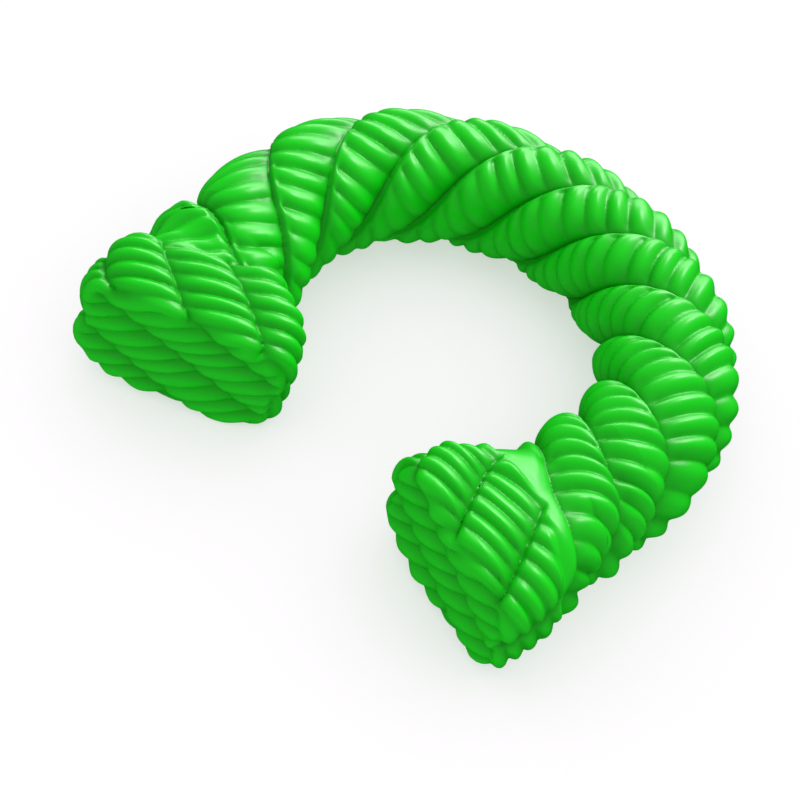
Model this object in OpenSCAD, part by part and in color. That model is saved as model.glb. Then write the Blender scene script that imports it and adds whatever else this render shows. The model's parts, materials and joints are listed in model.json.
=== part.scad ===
// Twisting rope snake: a chain of hollow rope-shaped links between two flared heads.
// Neighbouring links meet on a plane square to the rope, and turn on a spring-loaded screw.
// Swivels are numbered from the right head to the left head. Link n lies between swivels n and n + 1.

/* [Rope] */
// Radius of the ring that the rope's centreline follows
ring_r = 48; // [46:0.5:54]
// Outer radius of the rope
rope_r = 15; // [14.5:0.1:16]
// Thickness of the shells, strands included
wall = 4.4; // [4:0.1:4.6]
// Angle of the ring that one link covers
link_angle = 23.45; // [23:0.05:24]
// Place of the first swivel on the ring, in degrees from +X
first_angle = -38.6; // [-45:0.1:-30]
// Gap between the faces of two neighbouring links
parting_gap = 0.3; // [0.2:0.05:0.4]

/* [Heads] */
// Width of the right head's flared end
right_w = 39; // [36:0.5:42]
// Height of the right head's flared end
right_h = 29.5; // [27:0.5:31]
// Width of the left head's flared end
left_w = 42.5; // [40:0.5:46]
// Height of the left head's flared end
left_h = 31; // [29:0.5:32]
// Radius of the four long corners of the flared ends
head_corner_r = 7; // [5:0.5:8]
// Length of the flare, from the neck to the end face
flare_l = 23; // [20:0.5:26]
// Radius of the waist between the rope and the flare
waist_r = 13; // [12:0.1:14]
// Length of full rope on a head before it narrows to the waist
rope_end_l = 8; // [6:0.5:9]
// Length of the straight part of the flare behind the end cover
brim_l = 9; // [6:0.5:10]
// Distance from the first swivel to the right head's end face
right_reach = 41.8; // [40:0.1:46]
// Distance from the last swivel to the left head's end face
left_reach = 37.3; // [36:0.1:42]
// How far the end faces lean over
head_lean = 10; // [0:1:15]
// Twist of the heads about the rope
head_twist = 8; // [0:1:12]
// How far the right head turns in towards the left one
right_turn = 7; // [0:1:10]
// How far the left head turns in towards the right one
left_turn = 4; // [0:1:10]
// Distance that the heads sit in from the rope's centreline
head_inset = 1.3; // [0:0.1:2]
// Thickness of the end covers
cover_t = 3; // [2.5:0.1:3.5]

/* [Swivels] */
// Thickness of the wall that a screw turns in, and of the press-in caps
plate_t = 2.5; // [2.4:0.1:3]
// Radius of the screw's smooth shoulder
shoulder_r = 2.5; // [2.2:0.1:2.6]
// Radius of the screw's head
screw_head_r = 4.2; // [4:0.1:4.5]
// Radius of the spring's wire
wire_r = 0.45; // [0.35:0.05:0.5]
// Number of turns of the spring
spring_turns = 3; // [2:0.5:3]

/* [Hidden] */
links = 9;
swivels = links + 1;
// The ring's centre, which puts the origin under the middle of the whole snake
ring_x = 5.2;
ring_y = 7.1;
core_r = rope_r - wall;
half_gap = parting_gap / 2;
plate_angle = plate_t / ring_r * 180 / PI;
// Press-in cap and its seat in the shell's open end
seat_r = core_r + 0.6;
cap_r = seat_r - 0.05;
boss_r = 4.2;
boss_l = 4.5;
thread_r = 1.5;
thread_l = 6.4;
pilot_r = thread_r + 0.05;
// Running fit of the shoulder in the wall
bore_r = shoulder_r + 0.05;
shoulder_l = 7.4;
screw_head_t = 1.8;
slot_w = 1.2;
slot_d = 0.9;
// Click stops: bumps on the cap run in a groove with four pockets
click_ring_r = 7.5;
click_bump_r = 0.9;
click_groove_w = 2.6;
click_groove_d = 0.9;
click_pocket_d = 1.5;
// Spring between the wall and the screw's head
coil_r = shoulder_r + 0.9;
coil_start = 3.65;
coil_end = shoulder_l - wire_r - 0.05;
coil_steps = 14;
wire_sides = 6;
// Heads
right_size = [right_w, right_h];
left_size = [left_w, left_h];
right_neck_l = right_reach - flare_l;
left_neck_l = left_reach - flare_l;
floor_t = 1.6;
lip_l = 4;
lip_t = 1.5;
lip_gap = 0.3;
reach_space = 200;

link_shells = [for (n = [1:links]) str("link_", n, "_shell")];
link_caps = [for (n = [1:links]) str("link_", n, "_cap")];
screws = [for (n = [1:swivels]) str("swivel_", n, "_screw")];
springs = [for (n = [1:swivels]) str("swivel_", n, "_spring")];
heads = ["right_head_shell", "right_head_cap", "right_head_cover", "left_head_shell", "left_head_cover"];
$fn = 72;

function swivel_angle(n) = first_angle + (n - 1) * link_angle;

// ---- Places ----

// Local axes at a swivel: X out of the ring, Y along the rope to the next link, Z up
module at_swivel(n) {
    translate([ring_x, ring_y, rope_r])
        rotate([0, 0, swivel_angle(n)])
            translate([ring_r, 0, 0])
                children();
}

// Local axes at the end face of the right head: X across, Y up, Z out of the face
module at_right_end() {
    at_swivel(1)
        translate([-head_inset, -right_reach, 0])
            rotate([0, 0, -right_turn])
                rotate([head_lean, 0, 0])
                    rotate([0, head_twist, 0])
                        rotate([90, 0, 0])
                            children();
}

// Local axes at the end face of the left head: X across, Y down, Z out of the face
module at_left_end() {
    at_swivel(swivels)
        translate([-head_inset, left_reach, 0])
            rotate([0, 0, left_turn])
                rotate([-head_lean, 0, 0])
                    rotate([0, -head_twist, 0])
                        rotate([-90, 0, 0])
                            children();
}

// ---- Shapes ----

// Round bar along local Y
module bar(from, to, r) {
    translate([0, from, 0])
        rotate([-90, 0, 0])
            cylinder(r = r, h = to - from);
}

// Piece of the ring with a round section
module ring_piece(r, from, to) {
    translate([ring_x, ring_y, rope_r])
        rotate([0, 0, from])
            rotate_extrude(angle = to - from)
                translate([ring_r, 0])
                    circle(r = r);
}

// Slab that trims a link back from the plane of a swivel
module trim(from, to) {
    translate([-rope_r - 2, from, -rope_r - 2])
        cube([2 * rope_r + 4, to - from, 2 * rope_r + 4]);
}

// Screw hole, click groove and click pockets in the wall that turns
module turning_wall_cuts() {
    bar(-1, plate_t + 2, bore_r);
    difference() {
        bar(-1, half_gap + click_groove_d, click_ring_r + click_groove_w / 2);
        bar(-2, half_gap + click_groove_d + 1, click_ring_r - click_groove_w / 2);
    }
    for (turn = [0:90:270])
        rotate([0, turn, 0])
            translate([click_ring_r, 0, 0])
                bar(-1, half_gap + click_pocket_d, click_groove_w / 2);
}

// Seat for a cap in the open end of a shell
module cap_seat() {
    bar(-half_gap - plate_t, 1, seat_r);
}

// Outline of a head, drawn in by an inset; size is its width and height
module head_outline(size, inset) {
    corner = head_corner_r - inset;
    square([size.x - 2 * inset, size.y - 2 * head_corner_r], center = true);
    square([size.x - 2 * head_corner_r, size.y - 2 * inset], center = true);
    for (x = [-1, 1])
        for (y = [-1, 1])
            translate([x * (size.x / 2 - head_corner_r), y * (size.y / 2 - head_corner_r)])
                circle(r = corner, $fn = 32);
}

// Slab with the outline of a head, between two distances from its end face
module head_slab(from, to, size, inset) {
    translate([0, 0, from])
        linear_extrude(to - from)
            head_outline(size, inset);
}

module above(height) {
    translate([-reach_space / 2, -reach_space / 2, height])
        cube([reach_space, reach_space, reach_space]);
}

// ---- Pieces ----

module link_shell(n) {
    color("limegreen")
        difference() {
            ring_piece(rope_r, swivel_angle(n), swivel_angle(n + 1));
            ring_piece(core_r, swivel_angle(n) + plate_angle, swivel_angle(n + 1) + 1);
            at_swivel(n) {
                trim(-2, half_gap);
                turning_wall_cuts();
            }
            at_swivel(n + 1) {
                trim(-half_gap, 2);
                cap_seat();
            }
        }
}

// Press-in cap with the boss that a swivel's screw is driven into
module cap(n) {
    color("green")
        at_swivel(n)
            difference() {
                union() {
                    bar(-half_gap - plate_t, -half_gap, cap_r);
                    bar(-half_gap - plate_t - boss_l, -half_gap - plate_t, boss_r);
                    for (side = [-1, 1])
                        translate([side * click_ring_r, -2 * half_gap, 0])
                            sphere(r = click_bump_r, $fn = 24);
                }
                bar(-half_gap - plate_t - boss_l - 1, 1, pilot_r);
            }
}

module screw(n) {
    color("silver")
        at_swivel(n)
            difference() {
                union() {
                    bar(-thread_l, -half_gap, thread_r);
                    bar(-half_gap, shoulder_l, shoulder_r);
                    bar(shoulder_l, shoulder_l + screw_head_t, screw_head_r);
                }
                translate([-screw_head_r - 1, shoulder_l + screw_head_t - slot_d, -slot_w / 2])
                    cube([2 * screw_head_r + 2, slot_d + 1, slot_w]);
            }
}

function coil_point(step, side) =
    let (
        last = spring_turns * coil_steps,
        turn = 360 * step / coil_steps,
        round = -360 * side / wire_sides,
        out = coil_r + wire_r * cos(round),
        rise = coil_start + (coil_end - coil_start) * step / last + wire_r * sin(round)
    )
    [out * cos(turn), rise, out * sin(turn)];

module spring(n) {
    last = spring_turns * coil_steps;
    points = [for (step = [0:last]) for (side = [0:wire_sides - 1]) coil_point(step, side)];
    skin = [
        for (step = [0:last - 1])
            for (side = [0:wire_sides - 1])
                let (next = (side + 1) % wire_sides, here = step * wire_sides)
                [here + side, here + wire_sides + side, here + wire_sides + next, here + next]
    ];
    first_end = [[for (side = [0:wire_sides - 1]) side]];
    last_end = [[for (side = [wire_sides - 1:-1:0]) last * wire_sides + side]];
    color("gainsboro")
        at_swivel(n)
            polyhedron(points = points, faces = concat(skin, first_end, last_end));
}

// Solid form of the right head: rope, waist and flare, drawn in by an inset; it ends at the cover
module right_head_form(inset, from) {
    hull() {
        at_swivel(1)
            bar(-rope_end_l, -from, rope_r - inset);
        at_swivel(1)
            bar(-right_neck_l, 1 - right_neck_l, waist_r - inset);
    }
    hull() {
        at_swivel(1)
            bar(-right_neck_l, 1 - right_neck_l, waist_r - inset);
        at_right_end()
            head_slab(-cover_t - brim_l, -cover_t + inset / 4, right_size, inset);
    }
}

// Solid form of the left head
module left_head_form(inset, from) {
    hull() {
        at_swivel(swivels)
            bar(from, rope_end_l, rope_r - inset);
        at_swivel(swivels)
            bar(left_neck_l - 1, left_neck_l, waist_r - inset);
    }
    hull() {
        at_swivel(swivels)
            bar(left_neck_l - 1, left_neck_l, waist_r - inset);
        at_left_end()
            head_slab(-cover_t - brim_l, -cover_t + inset / 4, left_size, inset);
    }
}

// Flared shell of the right head, with the cap's seat in its neck
module right_head_shell() {
    color("limegreen")
        difference() {
            intersection() {
                right_head_form(0, half_gap);
                above(0);
            }
            intersection() {
                right_head_form(wall, half_gap + 1);
                above(floor_t);
            }
            at_swivel(1)
                cap_seat();
        }
}

// Flared shell of the left head, with the turning wall in its neck
module left_head_shell() {
    color("limegreen")
        difference() {
            intersection() {
                left_head_form(0, half_gap);
                above(0);
            }
            intersection() {
                left_head_form(wall, half_gap + plate_t);
                above(floor_t);
            }
            at_swivel(swivels)
                turning_wall_cuts();
        }
}

// Lip of an end cover, which plugs into the flared shell
module lip(size) {
    difference() {
        head_slab(-cover_t - lip_l, -cover_t, size, wall + lip_gap);
        head_slab(-cover_t - lip_l - 1, -cover_t + 1, size, wall + lip_gap + lip_t);
    }
}

module right_head_cover() {
    color("green") {
        intersection() {
            at_right_end()
                head_slab(-cover_t, 0, right_size, 0);
            above(0);
        }
        intersection() {
            at_right_end()
                lip(right_size);
            above(floor_t + lip_gap);
        }
    }
}

module left_head_cover() {
    color("green") {
        intersection() {
            at_left_end()
                head_slab(-cover_t, 0, left_size, 0);
            above(0);
        }
        intersection() {
            at_left_end()
                lip(left_size);
            above(floor_t + lip_gap);
        }
    }
}

// ---- The whole snake ----

right_head_shell();
cap(1);  // right_head_cap
right_head_cover();
left_head_shell();
left_head_cover();
for (n = [1:links]) {
    link_shell(n);
    cap(n + 1);
}
for (n = [1:swivels]) {
    screw(n);
    spring(n);
}
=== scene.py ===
import json
import math

import bmesh
import bpy
import numpy as np
from mathutils import Matrix, Vector

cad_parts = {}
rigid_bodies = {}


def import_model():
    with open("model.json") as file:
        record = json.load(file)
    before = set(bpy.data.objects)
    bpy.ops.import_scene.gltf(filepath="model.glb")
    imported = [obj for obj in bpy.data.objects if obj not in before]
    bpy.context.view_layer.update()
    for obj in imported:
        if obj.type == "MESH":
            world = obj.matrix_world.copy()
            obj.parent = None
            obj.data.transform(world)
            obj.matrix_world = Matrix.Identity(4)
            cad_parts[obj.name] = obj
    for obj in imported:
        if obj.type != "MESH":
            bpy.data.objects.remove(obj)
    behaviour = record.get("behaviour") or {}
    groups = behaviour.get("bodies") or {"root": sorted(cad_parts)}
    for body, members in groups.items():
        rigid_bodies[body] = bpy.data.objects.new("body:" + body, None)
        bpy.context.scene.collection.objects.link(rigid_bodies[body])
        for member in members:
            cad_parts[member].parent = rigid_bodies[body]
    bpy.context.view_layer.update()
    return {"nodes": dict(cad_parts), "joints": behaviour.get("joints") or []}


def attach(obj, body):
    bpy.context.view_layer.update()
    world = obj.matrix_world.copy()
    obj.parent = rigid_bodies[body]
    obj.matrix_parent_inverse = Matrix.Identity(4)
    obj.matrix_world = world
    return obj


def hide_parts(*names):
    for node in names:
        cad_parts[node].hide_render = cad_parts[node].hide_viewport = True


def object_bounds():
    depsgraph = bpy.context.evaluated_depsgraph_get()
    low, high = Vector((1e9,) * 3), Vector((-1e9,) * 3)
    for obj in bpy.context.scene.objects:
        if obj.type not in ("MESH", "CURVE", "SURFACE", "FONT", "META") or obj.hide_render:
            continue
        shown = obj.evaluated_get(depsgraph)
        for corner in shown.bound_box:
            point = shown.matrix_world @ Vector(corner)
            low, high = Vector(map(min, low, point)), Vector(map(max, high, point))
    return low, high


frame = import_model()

MM = 0.001

# ---- Rope: sizes in millimetres, angles in degrees ----
STRANDS = 4
# The skin's radius at the bottom of a seam and at the crest of a strand
SEAM_RADIUS = 12.6
CREST_RADIUS = 15.35
# The crest stands higher on the rope's two sides, and more so inside the bend, where the seams are deeper
SIDE_BULGE = 0.35
INNER_CREST = 0.45
INNER_NOTCH = 0.5
# Cosines of the angle round the rope between which a side, and the inside of the bend, come in
SIDE_RANGE = (0.2, 0.9)
INNER_RANGE = (-0.45, -0.95)
# A strand rises from one seam to its crest, and falls over a rounded lip to the next seam
CREST_AT = 0.62
RISE_POWER = 0.72
LIP_POWER = 2.3
# A fine bead along the lip: its height, and its place and width as shares of the strand
BEAD = 0.15
BEAD_AT = 0.965
BEAD_WIDTH = 0.015
# Ribs in one turn of a strand, how deep the creases between them are, and how much of that is inside the bend
RIBS_PER_TURN = 21
RIB_DEPTH = 1.4
INNER_RIBS = 0.55
# Beside a seam a crease has this share of its depth, and the material's tone takes in this share of a crease as
# painted shade
SEAM_RIBS = 0.5
CREASE_SHADE = 0.6
# A rib leans on the next one, and a crease is narrower than a rib's back
RIB_LEAN = 1.3
CREASE_POWER = 1.9
# Where a crease grows out of a seam, where it ends on the lip, and the share of it that ends there on the rope's
# outer side and on its inner one, between these cosines
CREASE_GROWS = (-0.15, 0.22)
CREASE_ENDS = (0.88, 0.97)
LIP_SHARE = (0.10, 0.75)
LIP_RANGE = (0.40, 0.0)
# How far a rib turns round the rope on its way across the strand: evenly, then faster, then along the lip
RIB_SWEEP = 32.0
RIB_CURVE = 10.0
RIB_HOOK = 5.0
# How unlike each other the ribs are in depth and in spacing, and how often that comes round
RIB_VARIETY = 0.15
RIB_WANDER = 0.09
RIB_SPREAD = 0.38
# A seam's angle on top of the rope, and the strands' pitch along the ring at the right and the left head
SEAM_ANGLE = -29.2
PITCH_RIGHT = 21.8
PITCH_LEFT = 27.5
# How the seams wave on their way round the rope, as shares of a strand
SEAM_BEND = 0.10
SEAM_LEAN = 0.08
SEAM_PEAK = 0.09
# The first strands also swing over the outer side of the top, less and less up to the fifth
RIGHT_SWING = 0.32
SWING_AT = 45.0
SWING_WIDTH = 50.0
SWING_END = 5.0
SWING_FADE = 4.0
# Half of the hairline between two pieces' skins
SKIN_GAP = 0.005

# ---- Inside of a link, as the CAD has it ----
WALL_T = 2.5
CORE_RADIUS = 10.6
SEAT_RADIUS = 11.2
BORE_RADIUS = 2.55

# ---- Grid: samples across a strand and around the rope, and samples to spare past a link's two ends ----
ACROSS_STRAND = 48
AROUND_ROPE = 300
SPARE = 4
# The number of a strand near the left head, where the seams no longer swing
LAST_STRAND = 10.0
# In metres: how near a plane a point is on it, for a cut and for finding the cut's rim
CUT_TOLERANCE = 1e-7
RIM_TOLERANCE = 2e-6


def smoothstep(low, high, x):
    t = np.clip((x - low) / (high - low), 0.0, 1.0)
    return t * t * (3.0 - 2.0 * t)


def mix(a, b, t):
    return a + (b - a) * t


# ---- The ring, from the swivels' own places ----
joints = {j["name"]: j for j in frame["joints"]}
swivels = [joints[f"swivel_{n + 1}"] for n in range(len(joints))]
places = np.array([j["pos_m"] for j in swivels]) / MM
tangents = np.array([j["axis"] for j in swivels], float)
outwards = np.cross(tangents, [0.0, 0.0, 1.0])
STEP = math.degrees(math.acos(float(tangents[0] @ tangents[1])))
RING_RADIUS = float(np.linalg.norm(places[1] - places[0])) / (2.0 * math.sin(math.radians(STEP / 2.0)))
RING_CENTRE = places[0] - RING_RADIUS * outwards[0]
ROPE_RADIUS = float(places[0][2])
FIRST_ANGLE = math.degrees(math.atan2(outwards[0][1], outwards[0][0]))
LAST_ANGLE = FIRST_ANGLE + STEP * (len(swivels) - 1)
SPAN = LAST_ANGLE - FIRST_ANGLE


def swivel_angle(n):
    return FIRST_ANGLE + STEP * n


# ---- Strands ----
# How many strands the ring would have at the right head's pitch, and at the left head's
N_RIGHT = SPAN / PITCH_RIGHT
N_LEFT = SPAN / PITCH_LEFT


def strand_of(theta):
    """Strand coordinate along the ring at the top of the rope: whole numbers are seams."""
    x = (theta - SEAM_ANGLE) / SPAN
    return x * N_RIGHT + 0.5 * x * x * (N_LEFT - N_RIGHT)


def theta_of(strand):
    """The ring angle at which a strand coordinate lies."""
    half = 0.5 * (N_LEFT - N_RIGHT)
    x = (-N_RIGHT + np.sqrt(N_RIGHT * N_RIGHT + 4.0 * half * strand)) / (2.0 * half)
    return SEAM_ANGLE + x * SPAN


def lay(phi, strand):
    """How far a strand has turned at an angle round the rope: 0 outwards, 90 up, 180 inwards."""
    p = np.radians(phi)
    even = (phi - 90.0) / 360.0 * STRANDS
    waves = SEAM_BEND * np.cos(p) - SEAM_LEAN * (np.sin(p) - 1.0) - SEAM_PEAK * np.sin(2.0 * p)
    right_share = np.clip((SWING_END - strand) / SWING_FADE, 0.0, 1.0)
    return even + waves + right_share * RIGHT_SWING * np.exp(-((phi - SWING_AT) / SWING_WIDTH) ** 2)


def strand_profile(v, rise_to=CREST_AT, rise_power=RISE_POWER):
    """Height of a strand between its two seams, from 0 to 1: a rise, a crest and a rounded lip."""
    rise = np.sin(np.clip(v / rise_to, 0.0, 1.0) * math.pi / 2.0) ** rise_power
    past = np.clip((v - CREST_AT) / (1.0 - CREST_AT), 0.0, 1.0)
    fall = (1.0 - past ** LIP_POWER) ** (1.0 / LIP_POWER)
    return np.where(v < CREST_AT, rise, fall)


def crease_depth(along, v, lip_share):
    """Depth of the creases between the ribs: 0 on a rib's back and 1 in a crease, at whole numbers."""
    part = (along - np.floor(along)) ** RIB_LEAN
    crease = np.abs(2.0 * part - 1.0) ** CREASE_POWER
    grown = smoothstep(*CREASE_GROWS, v)
    lip = 1.0 - lip_share * smoothstep(*CREASE_ENDS, v)
    return crease * grown * lip


def rib_coordinate(phi, v):
    """Whole numbers are creases; the ribs run across the strand and turn along its lip."""
    sweep = RIB_SWEEP * v + RIB_CURVE * v * v + RIB_HOOK * v ** 6
    return (phi + sweep) / 360.0 * RIBS_PER_TURN


def varied_ribs(along, ribs_per_turn, phase):
    """Shifts the ribs a little and gives each its own depth; both repeat after a whole turn."""
    turn = along / ribs_per_turn * 2.0 * math.pi
    spread = round(ribs_per_turn * RIB_SPREAD)
    variety = 1.0 + RIB_VARIETY * np.sin(spread * turn + phase)
    return along + RIB_WANDER * np.sin((spread - 3) * turn - phase), variety


def skin_radius(strand, phi):
    """The skin's radius at a strand coordinate and an angle round the rope, and the material's tone there:
    painted shade, darkest in the seams and creases.
    """
    v = strand - np.floor(strand)
    facing = np.cos(np.radians(phi))
    inner = smoothstep(*INNER_RANGE, facing)
    lip_share = mix(*LIP_SHARE, smoothstep(*LIP_RANGE, facing))
    height = strand_profile(v)
    quarter_turns = np.floor(strand) * math.pi / 2.0
    along, variety = varied_ribs(rib_coordinate(phi, v), RIBS_PER_TURN, quarter_turns)
    ribs = crease_depth(along, v, lip_share) * mix(1.0, INNER_RIBS, inner) * variety
    bead = BEAD * np.exp(-((v - BEAD_AT) / BEAD_WIDTH) ** 2)
    crest = CREST_RADIUS + SIDE_BULGE * smoothstep(*SIDE_RANGE, np.abs(facing)) + INNER_CREST * inner
    strand_radius = mix(SEAM_RADIUS - INNER_NOTCH * inner, crest, height)
    radius = strand_radius - RIB_DEPTH * ribs * mix(SEAM_RIBS, 1.0, height) + bead
    return radius, height - CREASE_SHADE * ribs


def on_ring(theta, phi, radius):
    """Points at ring angles and angles round the rope, at a radius from the rope's middle."""
    t = np.radians(theta)
    p = np.radians(phi)
    out = RING_RADIUS + radius * np.cos(p)
    x = RING_CENTRE[0] + out * np.cos(t)
    y = RING_CENTRE[1] + out * np.sin(t)
    z = RING_CENTRE[2] + radius * np.sin(p)
    return np.stack([x, y, z], -1)


# ---- Meshes ----

def new_object(name, bm):
    mesh = bpy.data.meshes.new(name)
    bm.to_mesh(mesh)
    bm.free()
    mesh.polygons.foreach_set("use_smooth", [True] * len(mesh.polygons))
    obj = bpy.data.objects.new(name, mesh)
    bpy.context.scene.collection.objects.link(obj)
    return obj


def new_skin():
    """An empty mesh, and its layer for the material's tone, which paints shade into the seams and creases."""
    bm = bmesh.new()
    return bm, bm.verts.layers.float.new("relief")


def link_skin(first, last):
    """The ribbed outside of the rope between two ring angles, with some to spare at both ends."""
    bm, relief = new_skin()
    phis = np.linspace(-90.0, 270.0, AROUND_ROPE + 1)
    low = np.floor((strand_of(first) - lay(phis, 0.0)) * ACROSS_STRAND).astype(int) - SPARE
    high = np.ceil((strand_of(last) - lay(phis, LAST_STRAND)) * ACROSS_STRAND).astype(int) + SPARE
    columns = []
    for j in range(AROUND_ROPE):
        index = np.arange(low[j], high[j] + 1)
        strand = index / ACROSS_STRAND
        theta = theta_of(strand + lay(phis[j], strand))
        radius, tone = skin_radius(strand, phis[j])
        points = on_ring(theta, phis[j], radius) * MM
        verts = {}
        for i, point, value in zip(index, points, tone):
            vert = bm.verts.new(point)
            vert[relief] = value
            verts[int(i)] = vert
        columns.append(verts)
    for j in range(AROUND_ROPE):
        here, there, shift = columns[j], columns[(j + 1) % AROUND_ROPE], 0
        if j + 1 == AROUND_ROPE:
            shift = STRANDS * ACROSS_STRAND
        for i in here:
            corners = [here.get(i), there.get(i + shift), there.get(i + 1 + shift), here.get(i + 1)]
            if all(corners):
                bm.faces.new(corners)
    return bm


def cut(bm, place, normal):
    """Removes what lies on the side of the plane that the normal points to."""
    geometry = bm.verts[:] + bm.edges[:] + bm.faces[:]
    bmesh.ops.bisect_plane(
        bm, geom=geometry, plane_co=place, plane_no=normal, clear_outer=True, dist=CUT_TOLERANCE
    )


def rim(bm, place, normal):
    """The open edges that lie on a plane."""
    place, normal = Vector(place), Vector(normal)

    def on_plane(vert):
        return abs((vert.co - place).dot(normal)) < RIM_TOLERANCE

    return [e for e in bm.edges if e.is_boundary and all(on_plane(v) for v in e.verts)]


def extend(bm, edges):
    """Makes an open edge sharp and puts a new strip on it; returns the strip's own vertices and edges."""
    for e in edges:
        e.smooth = False
    made = bmesh.ops.extrude_edge_only(bm, edges=edges)["geom"]
    new_verts = [v for v in made if isinstance(v, bmesh.types.BMVert)]
    return new_verts, [e for e in made if isinstance(e, bmesh.types.BMEdge)]


def step_in(bm, edges, place, along, radius, shift):
    """Extends an open edge to a circle about a swivel's axis, at a distance along that axis."""
    new_verts, new_edges = extend(bm, edges)
    place, along = Vector(place), Vector(along)
    for v in new_verts:
        arm = v.co - place
        arm -= along * arm.dot(along)
        v.co = place + arm.normalized() * radius * MM + along * shift * MM
    return new_edges


def step_through(bm, edges, place, along, radius, way):
    """Takes an open edge to a bore or a seat, through the wall there and out to the link's inside."""
    edges = step_in(bm, edges, place, along, radius, way * SKIN_GAP)
    edges = step_in(bm, edges, place, along, radius, way * WALL_T)
    return step_in(bm, edges, place, along, CORE_RADIUS, way * WALL_T)


def make_link(n):
    """Link n lies between swivels n and n + 1, counted from 0 here."""
    bm = link_skin(swivel_angle(n), swivel_angle(n + 1))
    near, near_axis = places[n] * MM, tangents[n]
    far, far_axis = places[n + 1] * MM, tangents[n + 1]
    near_place = near + near_axis * SKIN_GAP * MM
    far_place = far - far_axis * SKIN_GAP * MM
    cut(bm, near_place, -near_axis)
    cut(bm, far_place, far_axis)
    near_edge = step_through(bm, rim(bm, near_place, near_axis), near, near_axis, BORE_RADIUS, 1)
    far_edge = step_through(bm, rim(bm, far_place, far_axis), far, far_axis, SEAT_RADIUS, -1)
    bmesh.ops.bridge_loops(bm, edges=near_edge + far_edge)
    bmesh.ops.recalc_face_normals(bm, faces=bm.faces[:])
    return new_object(f"link_{n + 1}_rope_skin", bm)


# ---- Heads ----
# As the CAD has them: where the neck begins to bend, its radius at the waist, how far before the end face the
# flare begins and is full, and the thickness of the end cover, the wall and the floor
NECK_END = 8.0
WAIST_RADIUS = 13.0
FLARE = 23.0
BRIM = 12.0
COVER_T = 3.0
SHELL_T = 4.4
FLOOR_T = 1.6
# The skin's rounding at the end face's edge, and how square the flare's outline is, where 2 is an ellipse
EDGE_RADIUS = 3.0
FLARE_POWER = 4.6
# How much later the waist is narrow, and how much sooner the flare begins and later it is full, than in the CAD
WAIST_EASE = 2.0
FLARE_EASE = 3.0
# The smooth collar at which the rope's strands end, its tone in the painted shade, and how far its outer side
# draws in
COLLAR_RADIUS = CREST_RADIUS - 0.5
COLLAR_TONE = 0.8
NECK_NOTCH = 1.0
# Past the strands' end, where the collar begins and is full; and the same for the face's strands over the edge
COLLAR_FADE = (1.0, 4.0)
FACE_BLEND = (0.25, 0.85)
# Lengths over which a neck swells and draws in again
SWELL_RISE = 5.0
SWELL_FALL = 4.0
# The left neck's last strand: how soon it is at its height, its radius beside the seam, where it begins to
# differ from the rope, and its own ribs, which run across the neck
LOBE_RISE = 0.22
LOBE_RISE_POWER = 0.9
LOBE_SWELL = 0.25
LOBE_SEAM = 13.4
LOBE_BEGINS = (0.5, 4.5)
LOBE_RIB_TURN = 0.12
LOBE_RIB_SPACING = 3.1
LOBE_RIB_DEPTH = 0.9
LOBE_RIB_START = 0.15
LOBE_SEAM_RIBS = 0.4
# The strands round a head, their relief, the part of it that lies inwards, and their ribs
HEAD_STRANDS = 8
HEAD_RELIEF = 2.6
HEAD_SUNK = 0.45
HEAD_RIB_DEPTH = 1.1
HEAD_RIB_SPACING = 3.5
HEAD_RIB_BOW = 0.1
HEAD_LIP_SHARE = 0.15
# How far before the collar's edge the head's ribs begin, and the length over which they grow
RIBS_BEFORE = 0.7
RIBS_GROW = 2.0
# Grid: rows along the side, over the edge and on the face, and columns round the head
ROW = 0.34
FACE_ROW = 0.296
EDGE_ROWS = 14
COLUMNS = 400

# The heads in millimetres and degrees, close to the CAD's; the left one is a little wider than there.
# swivel, way     the swivel's number from 0, and whether the head runs on (1) or back (-1) from it
# reach, inset    the end face's distance from the swivel, and its shift towards the ring's middle
# turn, lean, twist    how the end face is turned about up, across and its own axis
# neck_radius     the hole in the neck's end: the seat of a cap, or the bore that a screw turns in
# lay_scale, lay_at, last_seam    how fast strands pass on the neck, whose waves they have, and the last seam
# collar          the strands' end: its distance from the swivel, its swing round the neck and where that faces
# bulge           the swollen side of the neck: from, to, by how much, where it faces, and its edge's cosine
# notch           a waist before the flare: its distance from the swivel, length, depth and where it faces
# ribs_from, slope, rib_lead    where the head's ribs begin, its strands' slope, and the ribs' lead in a turn
# end             the face's crown, and its strands' tilt, width and offset, its ribs' shear and spacing, and
#                 which way is up for the strands and for their lips
RIGHT_HEAD = {
    "name": "right_head",
    "swivel": 0,
    "way": -1,
    "reach": 41.8,
    "inset": 1.3,
    "width": 39.0,
    "height": 29.5,
    "turn": -7.0,
    "lean": 10.0,
    "twist": 8.0,
    "neck_radius": SEAT_RADIUS,
    "lay_scale": 1.35,
    "lay_at": -2.0,
    "last_seam": -2,
    "collar": (17.0, 11.5, 20.0),
    "bulge": (6.0, 28.0, 1.7, 0.0, 0.0),
    "notch": (27.5, 4.5, 2.0, 140.0),
    "ribs_from": 22.3,
    "slope": 0.68,
    "rib_lead": 10.0,
    "end": {
        "crown": 0.9,
        "tilt": 28.0,
        "width": 12.2,
        "offset": 6.1,
        "shear": 0.445,
        "ribs": 4.4,
        "up": 1.0,
        "lip": -1.0,
    },
}
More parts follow.
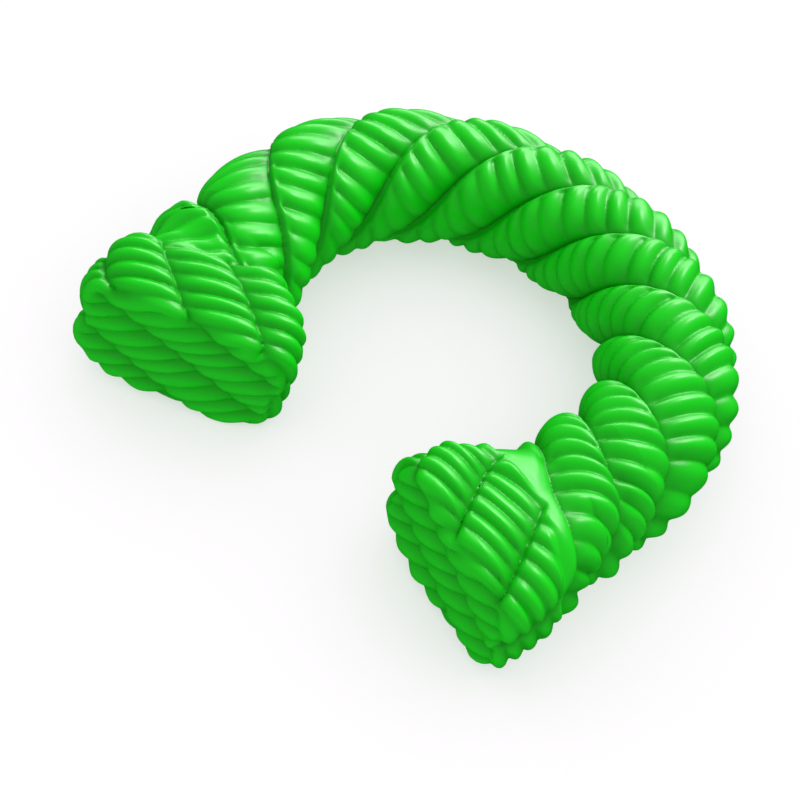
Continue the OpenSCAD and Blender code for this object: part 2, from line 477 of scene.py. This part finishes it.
LEFT_HEAD = {
    "name": "left_head",
    "swivel": 9,
    "way": 1,
    "reach": 37.3,
    "inset": 1.2,
    "width": 43.7,
    "height": 31.0,
    "turn": 4.0,
    "lean": -10.0,
    "twist": -8.0,
    "neck_radius": BORE_RADIUS,
    "lay_scale": 1.15,
    "lay_at": 10.0,
    "last_seam": 9,
    "collar": (17.0, 2.5, 60.0),
    "bulge": (4.0, 17.5, 3.6, 38.0, 0.25),
    "notch": (20.0, 2.0, 1.2, 50.0),
    "ribs_from": 17.5,
    "slope": -0.82,
    "rib_lead": -7.0,
    "end": {
        "crown": 2.0,
        "tilt": 27.0,
        "width": 11.7,
        "offset": 1.7,
        "shear": 0.753,
        "ribs": 4.6,
        "up": -1.0,
        "lip": 1.0,
    },
}


def turn_about(axis, degrees):
    return np.array(Matrix.Rotation(math.radians(degrees), 3, axis))


def head_axes(head):
    """Axes (columns: across, up, out of the face) at the swivel and at the end face, and the face's middle."""
    n = head["swivel"]
    out, along = outwards[n], tangents[n]
    up = np.array([0.0, 0.0, 1.0])
    swivel = np.stack([out, along, up], -1)
    at_end = swivel @ turn_about("Z", head["turn"]) @ turn_about("X", head["lean"])
    at_end = at_end @ turn_about("Y", head["twist"])
    place = places[n] + swivel @ np.array([-head["inset"], head["way"] * head["reach"], 0.0])
    pick = np.array([[1.0, 0.0, 0.0], [0.0, 0.0, head["way"]], [0.0, 1.0, 0.0]])
    return swivel @ pick, at_end @ pick, place


def outline(around, half_width, half_height, power):
    """Superellipse: a circle at the neck, and nearly a rectangle with round corners at the flare."""
    c, s = np.cos(around), np.sin(around)
    reach = (np.abs(c / half_width) ** power + np.abs(s / half_height) ** power) ** (-1.0 / power)
    return np.stack([reach * c, reach * s], -1)


def section(head, depth):
    """Half width, half height and power of the outline at a distance from the swivel."""
    reach = head["reach"]
    narrowed = smoothstep(NECK_END, reach - FLARE + WAIST_EASE, depth)
    flared = float(smoothstep(reach - FLARE - FLARE_EASE, reach - BRIM + FLARE_EASE, depth))
    neck = float(mix(ROPE_RADIUS, WAIST_RADIUS, narrowed))
    return (
        mix(neck, head["width"] / 2.0, flared),
        mix(neck, head["height"] / 2.0, flared),
        mix(2.0, FLARE_POWER, flared ** 0.5),
    )


def head_place(head, depth):
    """Centre and axes of the section at a distance from the swivel."""
    at_swivel, at_end, end_place = head_axes(head)
    bent = float(smoothstep(NECK_END, head["reach"] - BRIM, depth))
    start = places[head["swivel"]]
    turn = Matrix((at_end @ at_swivel.T).tolist()).to_quaternion()
    partly = Matrix.Identity(3).to_quaternion().slerp(turn, bent).to_matrix()
    axes = np.array(partly) @ at_swivel
    straight = start + at_swivel[:, 2] * depth
    along_end = end_place - at_end[:, 2] * (head["reach"] - depth)
    return mix(straight, along_end, bent), axes


def perimeter_share(head):
    """Each column's angle and its way round the flare from the middle of the top, and the whole way round."""
    around = math.pi / 2.0 - np.linspace(0.0, 2.0 * math.pi, COLUMNS + 1)
    fine = outline(around, head["width"] / 2.0, head["height"] / 2.0, FLARE_POWER)
    steps = np.linalg.norm(np.diff(fine, axis=0), axis=1)
    length = np.concatenate([[0.0], np.cumsum(steps)])
    return around[:-1], length[:-1], length[-1]


def cos_from(phi, facing):
    """Cosine of the angle between a place round the neck and the angle that a feature faces."""
    return np.cos(np.radians(phi - facing))


def collar_depth(head, phi):
    """Distance from the swivel at which the rope's strands end."""
    middle, swing, facing = head["collar"]
    return middle + swing * cos_from(phi, facing)


def neck_lobe(v, phi, depth):
    """Radius and tone of the left neck's last strand, which swells up at once beside its seam; the tone paints
    shade into its seam and creases.
    """
    height = strand_profile(v, LOBE_RISE, LOBE_RISE_POWER)
    along = (depth + LOBE_RIB_TURN * phi) / LOBE_RIB_SPACING
    ribs = crease_depth(along, v + LOBE_RIB_START, 0.0)
    creases = LOBE_RIB_DEPTH * ribs * mix(LOBE_SEAM_RIBS, 1.0, height)
    return mix(LOBE_SEAM, CREST_RADIUS, height) - creases, height - CREASE_SHADE * ribs


def neck_strands(head, depth, phi):
    """Radius and tone of the rope's strands on the neck, and how far past the last seam each place is."""
    scale = head["lay_scale"] * 180.0 / math.pi / RING_RADIUS
    theta = swivel_angle(head["swivel"]) + head["way"] * depth * scale
    strand = strand_of(theta) - lay(phi, head["lay_at"])
    radius, tone = skin_radius(strand, phi)
    v = strand - head["last_seam"]
    if head["way"] < 0:
        collar = mix(SEAM_RADIUS, COLLAR_RADIUS, strand_profile(np.clip(v + 1.0, CREST_AT, 1.0)))
        return np.where(v < 0.0, collar, radius), np.where(v < 0.0, COLLAR_TONE, tone), v
    lobe, lobe_tone = neck_lobe(np.clip(v, 0.0, 1.0), phi, depth)
    share = np.where((v >= 0.0) & (v < 1.0), smoothstep(*LOBE_BEGINS, depth), 0.0)
    return mix(radius, lobe, share), mix(tone, lobe_tone, share), v


def neck_bulge(head, depth, phi, v):
    """How much one side of the neck swells; on the left neck, only from the last seam on."""
    start, end, swell, facing, edge = head["bulge"]
    side = smoothstep(edge, edge + 0.7, cos_from(phi, facing))
    along = smoothstep(start, start + SWELL_RISE, depth) - smoothstep(end - SWELL_FALL, end, depth)
    from_seam = smoothstep(0.0, LOBE_SWELL, v) if head["way"] > 0 else 1.0
    return swell * side * along * from_seam


def neck_relief(head, depth, phi):
    """Relief of the neck, in millimetres above the rope's radius, and its tone: strands, then the collar."""
    radius, tone, v = neck_strands(head, depth, phi)
    relief = radius - ROPE_RADIUS + neck_bulge(head, depth, phi, v)
    outer = smoothstep(0.0, 0.7, cos_from(phi, 0.0))
    plain = COLLAR_RADIUS - ROPE_RADIUS - NECK_NOTCH * outer
    limit = collar_depth(head, phi)
    fade = smoothstep(limit + COLLAR_FADE[0], limit + COLLAR_FADE[1], depth)
    return mix(relief, plain, fade), mix(tone, COLLAR_TONE, fade)


def waist_notch(head, depth, phi):
    """How far one side of the waist draws in, just before the flare."""
    middle, spread, deep, facing = head["notch"]
    side = smoothstep(0.3, 0.9, cos_from(phi, facing))
    return -deep * side * math.exp(-(((depth - middle) / spread) ** 2))


def head_strands(v, along, rib_depth):
    """Relief of a head's strands and ribs, in millimetres, and its tone, which paints shade into the seams and
    creases.
    """
    height = strand_profile(v)
    ribs = crease_depth(along, v, HEAD_LIP_SHARE)
    relief = HEAD_RELIEF * (height - HEAD_SUNK) - rib_depth * ribs * mix(SEAM_RIBS, 1.0, height)
    return relief, height - CREASE_SHADE * ribs


def side_relief(head, depth, length, perimeter):
    """Strands and ribs round the flare, at a distance from the swivel."""
    from_end = depth - head["reach"]
    strand = (length - head["slope"] * from_end) / perimeter * HEAD_STRANDS
    v = np.ceil(strand) - strand
    along = from_end / HEAD_RIB_SPACING + head["rib_lead"] * length / perimeter
    along = along + HEAD_RIB_BOW * np.sin(v * math.pi)
    phase = np.ceil(strand) * 2.0 * math.pi / HEAD_STRANDS
    along, variety = varied_ribs(along, abs(head["rib_lead"]), phase)
    return head_strands(v, along, HEAD_RIB_DEPTH * variety)


def end_relief(head, across, up):
    """Strands and ribs on the end face, at a place across and up from its middle."""
    end = head["end"]
    tilt = math.radians(end["tilt"])
    up = up * end["up"]
    over = across * math.sin(tilt) + up * math.cos(tilt)
    along = across * math.cos(tilt) - up * math.sin(tilt)
    strand = (over + end["offset"]) / end["width"]
    v = strand - np.floor(strand)
    if end["lip"] < 0.0:
        v = 1.0 - v
    ribs = (along - end["shear"] * over) / end["ribs"]
    ribs, variety = varied_ribs(-end["lip"] * ribs, RIBS_PER_TURN, 2.0 * np.floor(strand))
    return head_strands(v, ribs, HEAD_RIB_DEPTH * variety)


def end_crown(head, across, up):
    """How far the end face swells, most of all in the middle of its lower edge."""
    low = smoothstep(0.5, -1.0, 2.0 * up / head["height"])
    side = np.minimum(np.abs(2.0 * across / head["width"]), 1.0)
    return head["end"]["crown"] * low * (1.0 - side ** 2) ** 1.5


def head_rows(head):
    """Each row's distance from the swivel, how far its outline draws in, and its size on the end face."""
    reach = head["reach"]
    rows = [(depth, 0.0, 1.0) for depth in np.arange(0.0, reach - EDGE_RADIUS, ROW)]
    for a in np.linspace(0.0, math.pi / 2.0, EDGE_ROWS):
        rows.append((reach - EDGE_RADIUS * (1.0 - math.sin(a)), EDGE_RADIUS * (1.0 - math.cos(a)), 1.0))
    count = int((head["height"] / 2.0 - EDGE_RADIUS) / FACE_ROW)
    rows += [(reach, EDGE_RADIUS, 1.0 - k / count) for k in range(1, count)]
    return rows


def grid_normals(points):
    """Unit normals of a head's grid of points, out of the head."""
    down = np.gradient(points, axis=0)
    padded = np.concatenate([points[:, -1:], points, points[:, :1]], axis=1)
    round_it = (padded[:, 2:] - padded[:, :-2]) / 2.0
    normal = np.cross(down, round_it)
    normal /= np.maximum(np.linalg.norm(normal, axis=-1, keepdims=True), 1e-9)
    if ((points[0] - points[0].mean(axis=0)) * normal[0]).sum() < 0.0:
        normal = -normal
    normal[0] = normal[1]
    return normal


def head_grid(head):
    """The head's skin as rows of points, and the tone at each."""
    around, length, perimeter = perimeter_share(head)
    phi = np.degrees(around) % 360.0
    phi = np.where(phi > 270.0, phi - 360.0, phi)
    ribs_from = np.maximum(head["ribs_from"], collar_depth(head, phi) - RIBS_BEFORE)
    points, moves, tones = [], [], []
    for depth, drawn, share in head_rows(head):
        centre, axes = head_place(head, depth)
        half_width, half_height, power = section(head, depth)
        flat = outline(around, half_width - drawn, half_height - drawn, power) * share
        points.append(centre + flat @ axes[:, :2].T)
        neck, neck_tone = neck_relief(head, depth, phi)
        side, side_tone = side_relief(head, depth, length, perimeter)
        face, face_tone = end_relief(head, flat[:, 0], flat[:, 1])
        face = face + end_crown(head, flat[:, 0], flat[:, 1])
        grown = smoothstep(ribs_from, ribs_from + RIBS_GROW, depth)
        turned = 1.0 if share < 1.0 else smoothstep(*FACE_BLEND, drawn / EDGE_RADIUS)
        body = mix(neck, side, grown) + waist_notch(head, depth, phi)
        moves.append(mix(body, face, turned))
        tones.append(mix(mix(neck_tone, side_tone, grown), face_tone, turned))
    points, moves, tones = np.array(points), np.array(moves), np.array(tones)
    return points + grid_normals(points) * moves[..., None], tones


def head_skin(head):
    """A head's whole outside, closed at the end face and open at the swivel, and flat where it lies down."""
    bm, relief = new_skin()
    points, tones = head_grid(head)
    rows = []
    for line, tone in zip(points, tones):
        row = []
        for point, value in zip(line, tone):
            vert = bm.verts.new((point[0] * MM, point[1] * MM, max(point[2], 0.0) * MM))
            vert[relief] = value
            row.append(vert)
        rows.append(row)
    for low, high in zip(rows, rows[1:]):
        for k in range(COLUMNS):
            m = (k + 1) % COLUMNS
            bm.faces.new((low[k], low[m], high[m], high[k]))
    middle = bm.verts.new(points[-1].mean(axis=0) * MM)
    middle[relief] = float(tones[-1].mean())
    for k in range(COLUMNS):
        bm.faces.new((rows[-1][k], rows[-1][(k + 1) % COLUMNS], middle))
    return bm


def step_to_outline(bm, edges, head, depth):
    """Extends an open edge to the head's own outline, drawn in by its wall, at a distance from the swivel."""
    centre, axes = head_place(head, depth)
    half_width, half_height, power = section(head, depth)
    new_verts, new_edges = extend(bm, edges)
    for v in new_verts:
        arm = (np.array(v.co) / MM - centre) @ axes
        around = np.array([math.atan2(arm[1], arm[0])])
        flat = outline(around, half_width - SHELL_T, half_height - SHELL_T, power)[0]
        point = centre + axes[:, :2] @ flat
        v.co = Vector((point[0], point[1], max(point[2], FLOOR_T))) * MM
    return new_edges


def make_head_shell(head):
    """The hollow head without its end cover, which is cut off square to the end face."""
    bm = head_skin(head)
    n, way = head["swivel"], head["way"]
    swivel, axis = places[n] * MM, tangents[n]
    _, at_end, end_place = head_axes(head)
    seam = (end_place - at_end[:, 2] * (COVER_T + SKIN_GAP)) * MM
    near_place = swivel + axis * way * SKIN_GAP * MM
    cut(bm, near_place, -axis * way)
    cut(bm, seam, at_end[:, 2])
    near_edge = step_through(bm, rim(bm, near_place, axis), swivel, axis, head["neck_radius"], way)
    far_edge = rim(bm, seam, at_end[:, 2])
    for from_end in (COVER_T + SKIN_GAP, BRIM, FLARE):
        far_edge = step_to_outline(bm, far_edge, head, head["reach"] - from_end)
    bmesh.ops.bridge_loops(bm, edges=near_edge + far_edge)
    bmesh.ops.recalc_face_normals(bm, faces=bm.faces[:])
    return new_object(head["name"] + "_skin", bm)


def make_head_cover(head):
    """The solid end cover: the other side of the same cut."""
    bm = head_skin(head)
    _, at_end, end_place = head_axes(head)
    seam = (end_place - at_end[:, 2] * COVER_T) * MM
    cut(bm, seam, -at_end[:, 2])
    edge = rim(bm, seam, at_end[:, 2])
    for e in edge:
        e.smooth = False
    bmesh.ops.edgeloop_fill(bm, edges=edge)
    bmesh.ops.recalc_face_normals(bm, faces=bm.faces[:])
    return new_object(head["name"] + "_end_cover", bm)


# ---- Materials ----
# Colours are linear; a noise's scale is in waves to a metre
# The green in the deepest seams and creases, which is painted shade, and the plastic's green on the crests
SHADED_GREEN = (0.001, 0.31, 0.002)
BRIGHT_GREEN = (0.002, 0.47, 0.004)
# The tone at which the painted shade ends and the plastic has its bright green, and its roughness from place to
# place
BRIGHT_AT = 0.85
PLASTIC_ROUGHNESS = (0.32, 0.42)
SCREW_COLOUR, SCREW_ROUGHNESS = (0.72, 0.72, 0.74), 0.28
SPRING_COLOUR, SPRING_ROUGHNESS = (0.62, 0.62, 0.64), 0.35
FLOOR_COLOURS = (0.48, 0.445, 0.48), (0.50, 0.465, 0.50)
FLOOR_GLOW = 0.54
WHITE = (1.0, 1.0, 1.0, 1.0)


def principled(name):
    material = bpy.data.materials.new(name)
    material.use_nodes = True
    tree = material.node_tree
    return material, tree, tree.nodes["Principled BSDF"]


def noise(tree, scale, detail):
    """Noise that is fixed to the object."""
    place = tree.nodes.new("ShaderNodeTexCoord")
    texture = tree.nodes.new("ShaderNodeTexNoise")
    texture.inputs["Scale"].default_value = scale
    texture.inputs["Detail"].default_value = detail
    tree.links.new(place.outputs["Object"], texture.inputs["Vector"])
    return texture.outputs["Fac"]


def colour_between(tree, factor, low, high, high_at=1.0):
    """A colour that goes from low to high as the factor goes from 0 to high_at."""
    tone = tree.nodes.new("ShaderNodeValToRGB")
    first, last = tone.color_ramp.elements
    first.color, last.color = (*low, 1.0), (*high, 1.0)
    last.position = high_at
    tree.links.new(factor, tone.inputs["Fac"])
    return tone.outputs["Color"]


def value_between(tree, factor, low, high):
    """A value that goes from low to high as the factor goes from 0 to 1."""
    value = tree.nodes.new("ShaderNodeMapRange")
    value.inputs["To Min"].default_value = low
    value.inputs["To Max"].default_value = high
    tree.links.new(factor, value.inputs["Value"])
    return value.outputs["Result"]


def green_plastic(name):
    """Satin moulded plastic with a fine grain; its green has painted shade, darker in the seams and creases and
    a little paler on the crests.
    """
    material, tree, shader = principled(name)
    # Painted shade: the relief layer's tone takes the green from dark in the seams and creases to bright on the
    # crests
    relief = tree.nodes.new("ShaderNodeAttribute")
    relief.attribute_name = "relief"
    colour = colour_between(tree, relief.outputs["Fac"], SHADED_GREEN, BRIGHT_GREEN, BRIGHT_AT)
    tree.links.new(colour, shader.inputs["Base Color"])
    gloss = value_between(tree, noise(tree, 90.0, 4.0), *PLASTIC_ROUGHNESS)
    tree.links.new(gloss, shader.inputs["Roughness"])
    bump = tree.nodes.new("ShaderNodeBump")
    bump.inputs["Strength"].default_value = 0.06
    bump.inputs["Distance"].default_value = 0.0002
    tree.links.new(noise(tree, 1400.0, 3.0), bump.inputs["Height"])
    tree.links.new(bump.outputs["Normal"], shader.inputs["Normal"])
    shader.inputs["IOR"].default_value = 1.48
    shader.inputs["Specular IOR Level"].default_value = 0.24
    return material


def steel(name, colour, roughness):
    """Drawn or plated steel: faint streaks in colour and gloss."""
    material, tree, shader = principled(name)
    streaks = noise(tree, 600.0, 5.0)
    dark = [c * 0.75 for c in colour]
    tree.links.new(colour_between(tree, streaks, dark, colour), shader.inputs["Base Color"])
    gloss = value_between(tree, streaks, roughness * 0.7, roughness * 1.3)
    tree.links.new(gloss, shader.inputs["Roughness"])
    shader.inputs["Metallic"].default_value = 1.0
    return material


def dress(obj, material):
    obj.data.materials.clear()
    obj.data.materials.append(material)


skin_green = green_plastic("rope_skin")
inside = {
    "cap": green_plastic("inner_cap"),
    "screw": steel("screw_steel", SCREW_COLOUR, SCREW_ROUGHNESS),
    "spring": steel("spring_steel", SPRING_COLOUR, SPRING_ROUGHNESS),
}
for name, node in frame["nodes"].items():
    dress(node, inside.get(name.rsplit("_", 1)[-1], skin_green))

for n in range(len(swivels) - 1):
    piece = make_link(n)
    dress(piece, skin_green)
    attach(piece, f"link_{n + 1}")
    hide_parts(f"link_{n + 1}_shell")

for head in (RIGHT_HEAD, LEFT_HEAD):
    for piece, node, slot in (
        (make_head_shell(head), head["name"] + "_shell", "rope_skin"),
        (make_head_cover(head), head["name"] + "_cover", "end_cover"),
    ):
        dress(piece, skin_green)
        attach(piece, head["name"])
        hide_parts(node)


# ---- Floor, light and camera ----
# Lengths of the floor and the lights are in metres, powers in watts
FLOOR_SIZE = 3.0
WORLD_STRENGTH = 1.08
KEY_PLACE, KEY_SIZE, KEY_POWER = (0.30, 0.70, 0.80), (0.30, 0.30), 10.0
PANEL_PLACE, PANEL_SIZE, PANEL_POWER = (0.10, 1.30, 0.55), (1.4, 0.7), 22.0
# The camera's aim from the ring's middle and its distance from there, in millimetres, and its lens
CAMERA_AIM = (-6.2, -24.4, 0.0)
CAMERA_DISTANCE = 305.4
CAMERA_ELEVATION = 48.32
CAMERA_ROLL = 16.40
CAMERA_LENS = 67.35


def make_floor():
    """White paper, tinted a little against the green light that the pieces throw on it."""
    bm = bmesh.new()
    bmesh.ops.create_grid(bm, x_segments=2, y_segments=2, size=FLOOR_SIZE)
    floor = new_object("floor", bm)
    floor.location.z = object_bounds()[0][2]
    material, tree, shader = principled("floor_paper")
    mottle = tree.nodes.new("ShaderNodeTexNoise")
    mottle.inputs["Scale"].default_value = 3.0
    colour = colour_between(tree, mottle.outputs["Fac"], *FLOOR_COLOURS)
    tree.links.new(colour, shader.inputs["Base Color"])
    shader.inputs["Roughness"].default_value = 0.9
    shader.inputs["Specular IOR Level"].default_value = 0.0
    shader.inputs["Emission Color"].default_value = WHITE
    shader.inputs["Emission Strength"].default_value = FLOOR_GLOW
    dress(floor, material)
    floor.visible_glossy = False


def area_light(name, place, size, power):
    """A lamp that is aimed at the origin."""
    data = bpy.data.lights.new(name, "AREA")
    data.shape = "RECTANGLE"
    data.size, data.size_y = size
    data.energy = power
    lamp = bpy.data.objects.new(name, data)
    lamp.location = place
    lamp.rotation_euler = (-Vector(place)).to_track_quat("-Z", "Y").to_euler()
    bpy.context.scene.collection.objects.link(lamp)
    return lamp


def make_lights():
    """Light from all round, with a small lamp and a wide panel behind the toy that light only its pieces."""
    world = bpy.data.worlds.new("studio")
    world.use_nodes = True
    background = world.node_tree.nodes["Background"]
    background.inputs["Color"].default_value = WHITE
    background.inputs["Strength"].default_value = WORLD_STRENGTH
    bpy.context.scene.world = world
    world.cycles_visibility.glossy = False
    key = area_light("back_softbox", KEY_PLACE, KEY_SIZE, KEY_POWER)
    panel = area_light("back_panel", PANEL_PLACE, PANEL_SIZE, PANEL_POWER)
    panel.visible_diffuse = False
    lit = bpy.data.collections.new("lit_pieces")
    for obj in bpy.data.objects:
        if obj.type == "MESH" and obj.name != "floor":
            lit.objects.link(obj)
    key.light_linking.receiver_collection = lit
    panel.light_linking.receiver_collection = lit


def make_camera():
    """The camera looks down from the heads' side, and it is rolled a little."""
    elevation = math.radians(CAMERA_ELEVATION)
    roll = math.radians(CAMERA_ROLL)
    target = RING_CENTRE + np.array(CAMERA_AIM)
    back = Vector((0.0, -math.cos(elevation), math.sin(elevation)))
    right = Vector((1.0, 0.0, 0.0))
    up = back.cross(right)
    turned_right = math.cos(roll) * right + math.sin(roll) * up
    turned_up = -math.sin(roll) * right + math.cos(roll) * up
    data = bpy.data.cameras.new("camera")
    data.sensor_width = 36.0
    data.lens = CAMERA_LENS
    data.clip_start = 0.01
    camera = bpy.data.objects.new("camera", data)
    turn = Matrix((turned_right, turned_up, back)).transposed().to_4x4()
    place = Vector(target * MM) + back * CAMERA_DISTANCE * MM
    camera.matrix_world = Matrix.Translation(place) @ turn
    bpy.context.scene.collection.objects.link(camera)
    bpy.context.scene.camera = camera


make_floor()
make_lights()
make_camera()
bpy.context.scene.view_settings.view_transform = "Standard"
